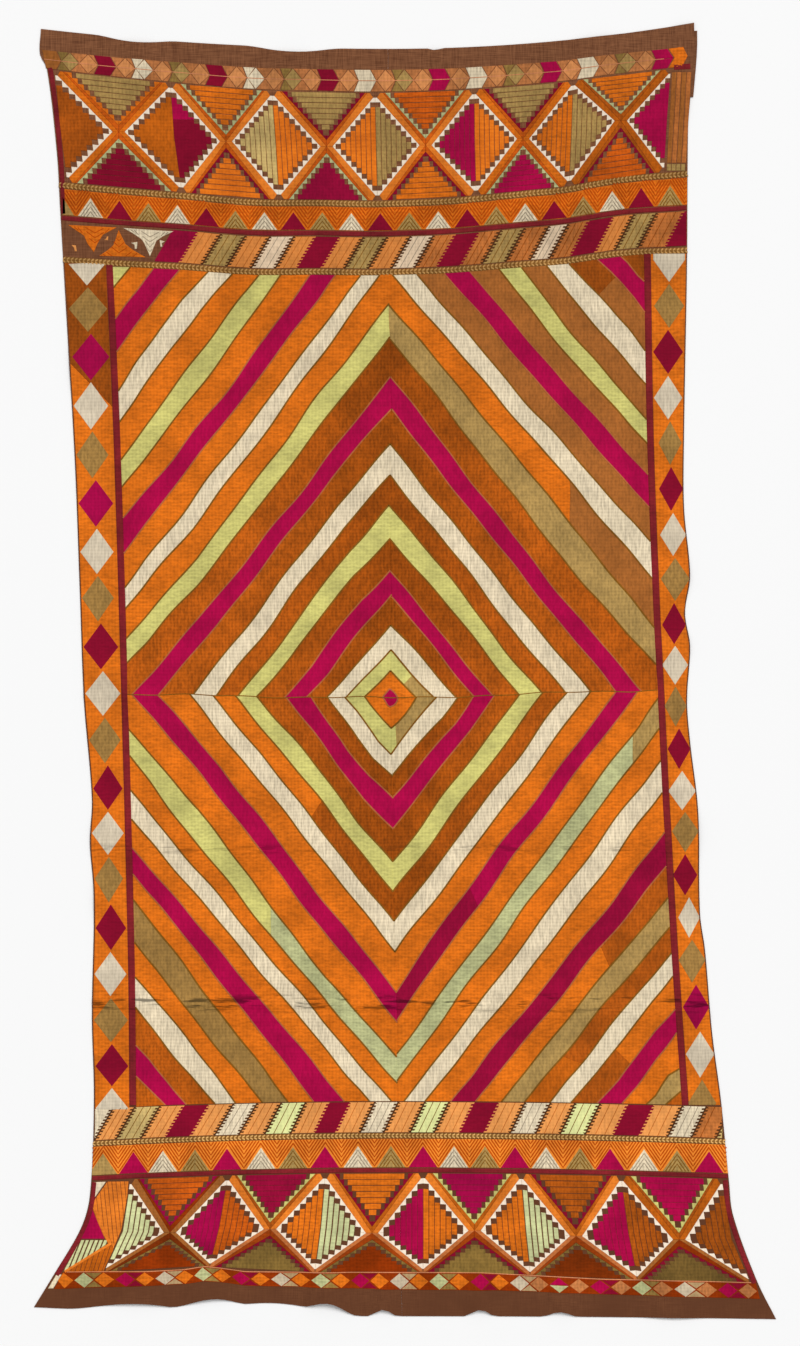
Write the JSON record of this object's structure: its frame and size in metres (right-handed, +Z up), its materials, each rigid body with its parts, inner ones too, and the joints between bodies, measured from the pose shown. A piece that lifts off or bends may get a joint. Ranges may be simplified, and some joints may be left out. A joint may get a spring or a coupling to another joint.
{
  "type": "phulkari shawl",
  "caption": "Flat hand-embroidered shawl of joined loom widths, wider at the foot, with soft folds, creases and a turned-under edge.",
  "frame": {"origin": "under the middle of the shawl, on the surface it lies on", "axes": "+X across the shawl to the right as it is seen from above, +Y along it towards the head end, +Z up out of the surface"},
  "size_m": [1.4098, 2.4624, 0.0133],
  "materials": {
    "khaddar": "matt handspun cotton, dark brown, with darned untwisted silk on its face",
    "khaddar_turned": "matt handspun cotton in shade, dark brown",
    "floss": "glossy untwisted silk floss in orange, magenta, green and cream"
  },
  "bodies": {
    "root": {"panel_left": "khaddar", "panel_right": "khaddar", "turned_edge": "khaddar_turned"}
  },
  "joints": []
}
